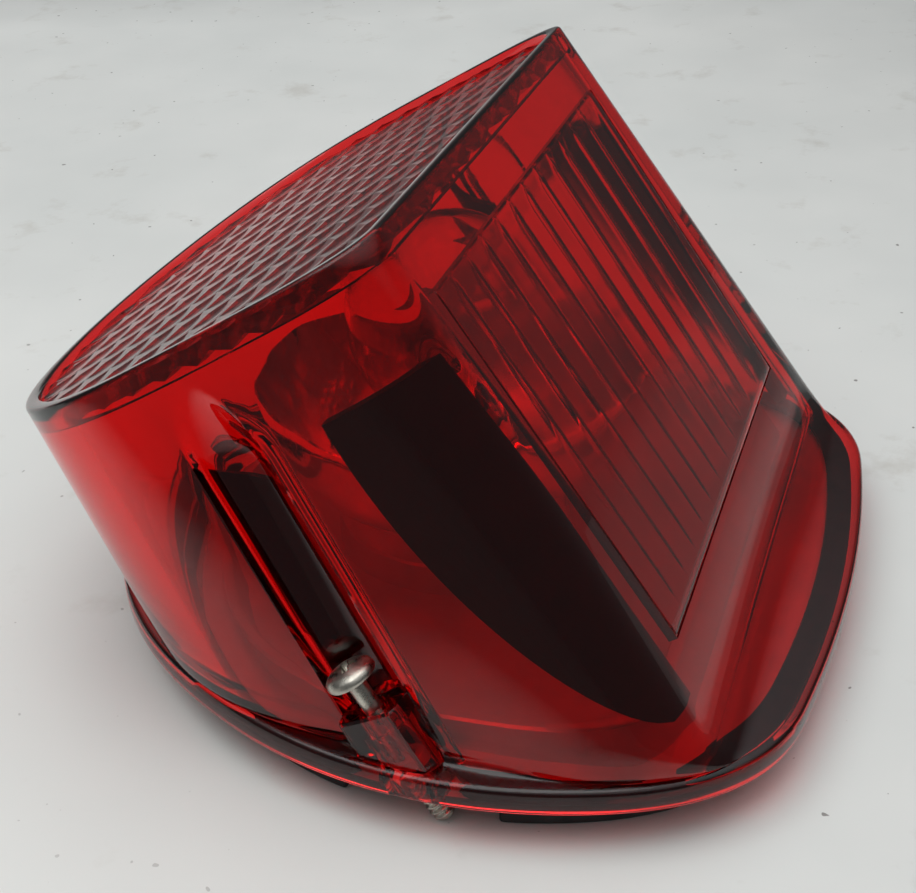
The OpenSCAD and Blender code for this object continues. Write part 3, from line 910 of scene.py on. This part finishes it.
def pads():
    rows, columns = 12, 10
    outer, inner = flange_outline(4.4), flange_outline(14.0)
    solids = []
    for side in (-1, 1):
        for low, high in ((-37, -15), (6, 21)):
            y = np.linspace(low, high, rows)
            near, far = half_width(inner, y)[:, None], half_width(outer, y)[:, None]
            x = near + (far - near) * np.linspace(0, 1, columns)
            height = np.full_like(x, PLATE_BOTTOM - 0.01)
            top = np.stack([side * x, np.repeat(y[:, None], columns, 1), height], -1)
            bottom = top.copy()
            bottom[..., 2] = 0.0
            solids.append(slab_between(bottom, top))
    return merge(*solids)


soften(make("mounting_pads", pads(), "lamp", "pad_rubber"), 0.7)


# ---------- bowl, socket, bulb

def bowl():
    neck, rim, low, high, wall = 15.2, 27.0, 17.0, 34.0, 1.2
    share = np.linspace(0, 1, 26)
    inside = [(neck + (rim - neck) * u, low + (high - low) * u * u + wall) for u in share]
    outside = [(neck + wall * 0.8 + (rim - neck - wall * 0.4) * u, low + (high - low) * u * u)
               for u in share[::-1]]
    profile = [(neck, 12.1)] + inside + [(rim + 0.3, high + wall - 0.2)] + outside + [(neck + wall, 12.1)]

    def ripple(angle, h):
        grow = max(0.0, (h - 15) / 20)
        return grow * (0.34 * np.sin(7 * angle + h * 0.3) + 0.16 * np.sin(15 * angle - h * 0.5))

    return turn(profile, AXIS, UP, 144, closed=True, ripple=ripple)


make("reflector_bowl", bowl(), "lamp", "metallised")


def bulb_glass():
    outer = [(7.05, 24.5), (7.05, 29), (7.6, 31), (9.3, 34), (11.2, 37.4), (12.2, 40.5), (12.48, 43.5),
             (12.5, 46)]
    outer += [(12.5 * math.cos(a), 46 + 12.5 * math.sin(a)) for a in np.linspace(0, math.pi / 2, 20)[1:-1]]
    outer += [(0.25, 58.49)]
    inner = [(max(r - 0.65, 0.15), h - (0.65 if h > 50 else 0.0)) for r, h in outer[::-1]]
    return turn(outer + inner, AXIS, UP, 64, closed=True)


make("bulb_glass", bulb_glass(), "bulb", "clear_glass")


def socket_seal():
    return turn(rounded([(13.6, 4.15), (16.5, 4.15), (16.5, 5.15), (13.6, 5.15)], 0.3), AXIS, UP, 72)


make("socket_seal", socket_seal(), "socket", "gasket_rubber")


# ---------- screws

def screw(side):
    """Pan head with a cross recess, and a shank with a helical thread, as two closed parts of one piece."""
    head_r, head_h = 3.45, 2.1
    profile = [(0.05, 0.0), (head_r - 0.45, 0.0), (head_r - 0.12, 0.1), (head_r, 0.38), (head_r - 0.03, 0.62)]
    for a in np.linspace(0.18, 1, 12):
        r = head_r * math.cos(a * math.pi / 2)
        profile.append((max(r, 0.05), 0.62 + (head_h - 0.62) * math.sin(a * math.pi / 2)))
    head = lathe(profile, screw_axis(side, UNDER_HEAD_T), 64, OUT)
    cuts = []
    for a in (math.radians(25), math.radians(115)):
        along = math.cos(a) * ACROSS + math.sin(a) * DOWN
        across = -math.sin(a) * ACROSS + math.cos(a) * DOWN
        base = screw_axis(side, UNDER_HEAD_T)
        rings = []
        for w, length, h in ((0.2, 0.9, 0.8), (0.38, 1.45, 1.3), (0.46, 1.75, 3.2)):
            rings.append([base + along * length * p + across * w * q + OUT * h
                          for p, q in ((1, -1), (1, 1), (-1, 1), (-1, -1))])
        cuts.append(minus(loft(rings)))
    mesh = carve(head, cuts)

    # Shank and thread: radius by angle and height
    angle_steps, pitch = 40, 0.9
    angle = full_turn(angle_steps)
    length = UNDER_HEAD_T + 0.2 - TIP_T
    heights = np.concatenate([np.arange(0, 9.2, 0.075), np.linspace(9.4, length, 14)])
    rings = []
    for h in heights:
        phase = np.mod(h / pitch - angle / (2 * math.pi), 1.0)
        ridge = np.clip(1 - np.abs(phase - 0.5) * 2.6, 0, 0.82) / 0.82
        engage = ease(0.1, 1.3, h) * (1 - ease(8.5, 9.0, h))
        core = 1.25 + 0.08 * engage
        taper = 1 - 0.35 * (1 - ease(0.0, 0.5, h))
        r = (core + (1.74 - core) * ridge * engage) * taper
        rings.append(screw_axis(side, TIP_T + h) + r[:, None] * circle(angle, ACROSS, DOWN))
    vertices, faces = loft(rings)
    work = bmesh.new()
    work.from_mesh(mesh)
    added = [work.verts.new(Vector(v) * MM) for v in vertices.tolist()]
    for f in faces:
        work.faces.new([added[i] for i in f])
    work.to_mesh(mesh)
    work.free()
    return mesh


for side, word in SIDES:
    finish_mesh(f"lens_screw_{word}", screw(side), f"screw_{word}", "screw_steel", sharp=40)
    collar = rounded([(1.3, 0.0), (2.55, 0.0), (2.55, 1.6), (1.3, 1.6)], 0.2)
    make(f"screw_retainer_{word}", turn(collar, screw_axis(side, THREAD_TOP_T + 0.05), OUT, 48),
         f"retainer_{word}", "nylon")


# ---------- inner parts

BLADE_PITCH = 4.0
CONTACT_X = 3.2  # distance of each bulb contact from the axis


def sweep(points, radius, steps=10):
    """Round wire along a smooth line."""
    points = np.asarray(points, float)
    along = np.gradient(points, axis=0)
    along /= np.linalg.norm(along, axis=1)[:, None]
    side = np.cross(along[0], (0.31, 0.17, 0.93))
    angle = full_turn(steps)
    rings = []
    for point, way in zip(points, along):
        side = side - way * np.dot(side, way)
        side /= np.linalg.norm(side)
        other = np.cross(way, side)
        rings.append(point + radius * circle(angle, side, other))
    return loft(rings)


def bayonet_cuts():
    """The two hooked slots: a short arc where the pin rests, and the way in from the mouth."""
    half = PIN_R + 0.15
    side = math.degrees(math.asin(half / 8.15))
    cuts = []
    for turned_by, z in ((0, PIN_LOW), (180, PIN_HIGH)):
        middle, spread = turned_by + BULB_SWING / 2, BULB_SWING + 2 * side
        cuts.append(minus(sector(6.7, 9.75, middle, spread, z - half, z + half)))
        a = math.radians(turned_by + BULB_SWING)
        way, across = np.array([math.cos(a), math.sin(a), 0]), np.array([-math.sin(a), math.cos(a), 0])
        near, far, wide = 6.45, 10.05, half - 0.06
        corners = np.array([np.array(at_bulb(0, 0)) + way * r + across * w for r, w in
                            ((near, -wide), (far, -wide), (far, wide), (near, wide))])
        cuts.append(minus(loft([corners + np.array([0, 0, h]) for h in (z, z + 20)])))
    return cuts


def bulb_socket():
    profile = [(8.17, 5.0), (8.17, 20.5), (12.6, 20.5), (12.6, 4.1), (17.0, 4.1), (17.0, 2.5)]
    profile = rounded(profile, 0.45, 4)
    profile = [p for p in profile if not (p[0] < 9 and p[1] < 6)]
    body = lathe([(0.1, 5.0), (8.17, 5.0)] + profile + [(0.1, 2.5)], AXIS, 96)
    cuts = [plus(sector(12.1, 14.6, a, 22, 12.2, 14.2)) for a in (0, 120, 240)]
    cuts.append(plus(loft([flat(np.array([at_bulb(x, y)[:2] for x, y in grip_outline(shrink)]), z)
                           for shrink, z in ((0.5, 0.6), (0.15, 0.75), (0.0, 1.1), (0.0, 2.7))])))
    for x in (-BLADE_PITCH, 0, BLADE_PITCH):
        cuts.append(minus(bulb_box((x - 0.4, -0.5, -1), (x + 0.4, 0.5, 9))))
        cuts.append(minus(bulb_box((x - 1.5, 2, 3.0), (x + 1.5, 42, 3.9))))
    return carve(body, cuts + bayonet_cuts())


def grip_outline(shrink, half=12.0, width=1.5, corner=1.2):
    """Rounded bar outline, moved inwards by shrink."""
    points = []
    for cx, cy, begin in ((1, 1, 0), (-1, 1, 90), (-1, -1, 180), (1, -1, 270)):
        for a in np.radians(np.linspace(begin, begin + 90, 7)):
            points.append((cx * (half - corner) + (corner - shrink) * math.cos(a),
                           cy * (width - corner) + (corner - shrink) * math.sin(a)))
    return points


def socket_sleeve():
    wall = rounded([(7.76, 5.05), (8.14, 5.05), (8.14, 22.5), (7.76, 22.5)], 0.12, 3)
    return carve(turn(wall, AXIS, UP, 96), bayonet_cuts())


def contact_spring():
    """Open coil whose end turns lie close together."""
    coils, low, high, wire, radius = 4.6, 5.29, 8.05, 0.24, 5.6
    turned_by = np.linspace(0, coils * 2 * math.pi, 330)
    along = turned_by / turned_by[-1]
    share = ease(0.14, 0.86, along) * 0.35 + np.clip((along - 0.1) / 0.8, 0, 1) * 0.65
    return sweep(np.column_stack([radius * np.cos(turned_by), BULB_Y + radius * np.sin(turned_by),
                                  low + (high - low) * share]), wire, 12)


def contact_holes(radius, low, high):
    return [minus(rod(at_bulb(x, 0, low), at_bulb(x, 0, high), radius, 32)) for x in (-CONTACT_X, CONTACT_X)]


def contact_pair(profile, steps):
    return merge(*[lathe(profile, at_bulb(x, 0), steps) for x in (-CONTACT_X, CONTACT_X)])


def contact_carrier():
    disc = [(0.1, 8.41), (7.15, 8.41), (7.38, 8.6), (7.38, 9.6), (7.15, 9.79), (0.1, 9.79)]
    return carve(lathe(disc, AXIS, 72), contact_holes(1.2, 7, 11))


def contact_plungers():
    profile = [(0.1, 8.12), (0.9, 8.16), (1.12, 8.35), (1.14, 10.1), (1.45, 10.12), (1.58, 10.25),
               (1.5, 10.42), (1.1, 10.54), (0.1, 10.59)]
    return contact_pair(profile, 32)


def terminal_blades():
    """Blades with a chamfered nose and a small latch hole."""
    blades = []
    for x in (-BLADE_PITCH, 0, BLADE_PITCH):
        half = [(1.38, 2.21), (1.38, 20.9), (0.8, 22.19)]
        nose = [(x + across, y) for across, y in half] + [(x - across, y) for across, y in half[::-1]]
        points = np.array([at_bulb(*p)[:2] for p in nose[-1:] + nose[:-1]])
        middle = points.mean(axis=0)
        rings = [flat(middle + (points - middle) * grow, z) for grow, z in
                 ((0.985, 3.06), (1.0, 3.2), (1.0, 3.7), (0.985, 3.84))]
        hole = rod(at_bulb(x, 18.3, 2), at_bulb(x, 18.3, 5), 0.6, 24)
        mesh = carve(loft(rings), [minus(hole)])
        blades.append(([tuple(np.array(v.co[:]) / MM) for v in mesh.vertices],
                       [tuple(f.vertices) for f in mesh.polygons]))
    return merge(*blades)


def bulb_cap():
    shell = rounded([(7.21, 11.0), (7.58, 11.0), (7.58, 25.99), (7.21, 25.99)], 0.14, 3)
    pins = []
    for side, z in ((1, PIN_LOW), (-1, PIN_HIGH)):
        pin = [(0.05, 7.4), (PIN_R, 7.4), (PIN_R, 8.45), (PIN_R - 0.12, 8.62), (PIN_R - 0.4, 8.69),
               (0.05, 8.69)]
        pins.append(lathe(pin, at_bulb(0, 0, z), 24, (side, 0, 0)))
    return merge(turn(shell, AXIS, UP, 80), *pins)


def bulb_insulator():
    disc = [(0.1, 10.75), (5.6, 10.72), (6.8, 10.85), (7.15, 11.15), (7.17, 12.98), (0.1, 12.98)]
    return carve(lathe(disc, AXIS, 64), contact_holes(1.0, 10, 14))


def bulb_solder():
    profile = [(0.05, 10.41), (0.5, 10.45), (0.82, 10.6), (0.96, 10.85), (0.97, 12.75), (0.05, 12.75)]
    return contact_pair(profile, 28)


def bulb_stem():
    """Glass stem, flared at the base and pinched flat round the support wires."""
    profile = [(0.05, 22.52), (2.38, 22.52), (2.38, 23.4), (1.9, 25.5), (1.75, 29.0), (1.95, 31.5),
               (2.3, 33.0), (2.3, 34.1), (2.1, 34.45), (0.05, 34.48)]
    vertices, faces = lathe(profile, AXIS, 48)
    pinch = ease(28.0, 32.0, vertices[:, 2])
    vertices[:, 1] = BULB_Y + (vertices[:, 1] - BULB_Y) * (1 - 0.25 * pinch)
    return vertices, faces


def bulb_filaments():
    """Two coiled filaments, each hung between two bent support wires."""
    parts = []
    for row in (-1, 1):
        top = 42.5 + row
        for side in (-1, 1):
            height = np.linspace(34.54, top, 24)
            lean = ease(34.6, top, height)
            x = side * (1.45 + 0.42 * lean)
            parts.append(sweep(np.column_stack([x, np.full(24, BULB_Y + row * 1.2), height]), 0.16, 8))
        along = np.linspace(-1, 1, 300)
        coil = along * 24 * math.pi
        sag = 0.22 * (1 - along ** 2)
        parts.append(sweep(np.column_stack([along * 1.82, BULB_Y + row * 1.2 + 0.2 * np.cos(coil),
                                            top - sag + 0.2 * np.sin(coil)]), 0.05, 6))
    return merge(*parts)


INNER = (
    (bulb_socket, "socket", "socket_plastic"),
    (socket_sleeve, "socket", "plated_steel"),
    (contact_spring, "socket", "spring_steel"),
    (contact_carrier, "carrier", "phenolic"),
    (contact_plungers, "carrier", "brass"),
    (terminal_blades, "socket", "brass"),
    (bulb_cap, "bulb", "brass"),
    (bulb_insulator, "bulb", "vitrite"),
    (bulb_solder, "bulb", "solder"),
    (bulb_stem, "bulb", "clear_glass"),
    (bulb_filaments, "bulb", "tungsten"),
)
for build, body, slot in INNER:
    node, shape = build.__name__, build()
    finish = finish_mesh if isinstance(shape, bpy.types.Mesh) else make
    piece = finish(node, shape, body, slot)
    if node == "contact_spring":
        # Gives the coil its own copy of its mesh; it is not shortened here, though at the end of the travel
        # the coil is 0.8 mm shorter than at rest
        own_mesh(piece)


# ---------- table, light and camera

def table_material():
    tree, shader = new_material("table_top")
    broad = remap(tree, noise(tree, 9.0, 4, 0.6, seed=40.0), 0.35, 0.7)
    colour = mix_colour(tree, broad, (0.70, 0.71, 0.69), (0.78, 0.78, 0.755))
    smudge = remap(tree, noise(tree, 55.0, 5, 0.65, seed=41.0), 0.58, 0.72, 0.0, 0.45)
    colour = mix_colour(tree, smudge, colour, (0.50, 0.47, 0.42))
    speck = remap(tree, noise(tree, 520.0, 1, 0.4, seed=42.0), 0.775, 0.79, 0.0, 0.75)
    colour = mix_colour(tree, speck, colour, (0.14, 0.12, 0.11))

    def painted_lighting_ramp(way, start, end, most):
        return remap(tree, distance_along(tree, "Object", way), start, end, 0.0, most)

    # Painted light and painted shade in the table's colour: it is painted a little lighter near the rounded
    # end and painted darker away from the piece, where the room's light falls off
    colour = mix_colour(tree, painted_lighting_ramp((-0.8, 0.6, 0.0), 0.0, 0.09, 0.6), colour, (0.92, 0.92, 0.885))
    painted_shade = painted_lighting_ramp((0.945, 0.326, 0.0), 0.31, 0.46, 0.7)
    for way, start, end, most in (((-1.0, 0.0, 0.0), 0.087, 0.125, 0.9), ((0.2, -1.0, 0.0), 0.13, 0.22, 0.7),
                                  ((0.6, -0.8, 0.0), 0.09, 0.25, 0.24)):
        painted_shade = combine(tree, "MAXIMUM", painted_shade, painted_lighting_ramp(way, start, end, most))
    # Painted shade: the table's colour is mixed towards dark grey away from the piece
    colour = mix_colour(tree, painted_shade, colour, (0.06, 0.06, 0.06))
    tree.links.new(colour, shader.inputs["Base Color"])
    rough = remap(tree, noise(tree, 30.0, 4, 0.6, seed=43.0), 0.3, 0.7, 0.42, 0.6)
    tree.links.new(rough, shader.inputs["Roughness"])
    bump(tree, shader, noise(tree, 260.0, 3, 0.6, seed=44.0), 0.15, 0.0003)


mesh = bpy.data.meshes.new("table")
HALF_TABLE = 3.0  # metres
mesh.from_pydata([(HALF_TABLE * i, HALF_TABLE * j, 0) for i, j in ((-1, -1), (1, -1), (1, 1), (-1, 1))], [],
                 [(0, 1, 2, 3)])
table = add_object("table", mesh)
table_material()
mesh.materials.append(LOOKS["table_top"])


lamp_data = bpy.data.lights.new("overhead", "AREA")
lamp_data.shape = "RECTANGLE"
lamp_data.size, lamp_data.size_y = 0.9, 0.9
lamp_data.energy = 3.55
lamp_data.color = (1.0, 0.995, 0.98)
lamp = add_object("overhead", lamp_data)
lamp.location = (-0.24, 0.20, 1.0)
lamp.rotation_euler = (Vector((0, 0, 0.02)) - lamp.location).to_track_quat("-Z", "Y").to_euler()

scene = bpy.context.scene
world = bpy.data.worlds.new("studio")
scene.world = world
world.use_nodes = True
sky = world.node_tree
background = sky.nodes["Background"]
# Bright overhead, dark towards the horizon
level = remap(sky, distance_along(sky, "Generated", (0.0, 0.0, 1.0)), 0.47, 1.0, 0.12, 1.38)
sky.links.new(level, background.inputs["Strength"])
background.inputs["Color"].default_value = (0.96, 0.985, 1.0, 1.0)

# Camera: angles in radians, place in metres
YAW, PITCH, ROLL = 0.332, 0.532, -0.035
PLACE = (-0.206711, -0.063729, 0.150357)
ahead = np.array([math.cos(YAW), math.sin(YAW), 0.0])
right = np.array([math.sin(YAW), -math.cos(YAW), 0.0])
up = np.array([0.0, 0.0, 1.0])
look = math.cos(PITCH) * ahead - math.sin(PITCH) * up
top = math.sin(PITCH) * ahead + math.cos(PITCH) * up
right, top = (math.cos(ROLL) * right + math.sin(ROLL) * top, -math.sin(ROLL) * right + math.cos(ROLL) * top)
camera_data = bpy.data.cameras.new("camera")
camera_data.sensor_width = 36.0
camera_data.lens = 65.33
camera_data.clip_start = 0.01
camera = add_object("camera", camera_data)
rows = [[*row, place] for row, place in zip(np.array([right, top, -look]).T, PLACE)]
camera.matrix_world = Matrix(rows + [[0, 0, 0, 1]])
scene.camera = camera

scene.view_settings.view_transform = "Standard"
scene.cycles.max_bounces = 18
scene.cycles.transmission_bounces = 16
scene.cycles.glossy_bounces = 8
scene.cycles.diffuse_bounces = 4
scene.cycles.transparent_max_bounces = 16
scene.cycles.caustics_refractive = True
scene.cycles.caustics_reflective = True
scene.cycles.blur_glossy = 0.4
scene.cycles.sample_clamp_indirect = 8.0
